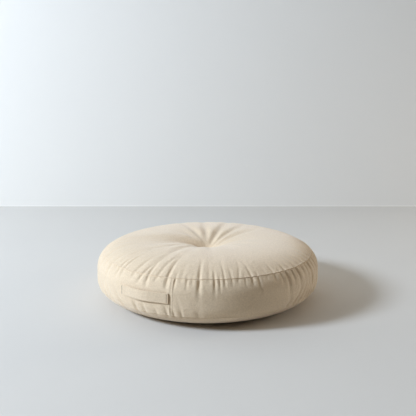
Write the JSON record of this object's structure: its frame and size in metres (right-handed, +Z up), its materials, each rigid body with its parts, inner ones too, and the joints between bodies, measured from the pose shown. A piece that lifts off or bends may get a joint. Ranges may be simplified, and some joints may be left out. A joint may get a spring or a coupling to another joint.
{
  "type": "meditation cushion",
  "caption": "Round low floor cushion of plain cloth, pulled down in the middle by a stitch, with gathered seams and a flat strap handle on its side.",
  "frame": {"origin": "middle of the underside, level with the floor that the cushion rests on", "axes": "+Z up through the middle stitch, -Y out through the middle of the handle"},
  "size_m": [0.6013, 0.607, 0.1553],
  "materials": {
    "cover": "matt cream cotton canvas",
    "strap": "matt cream cotton canvas, doubled"
  },
  "bodies": {
    "root": {"cushion": "cover", "handle": "strap"}
  },
  "joints": []
}
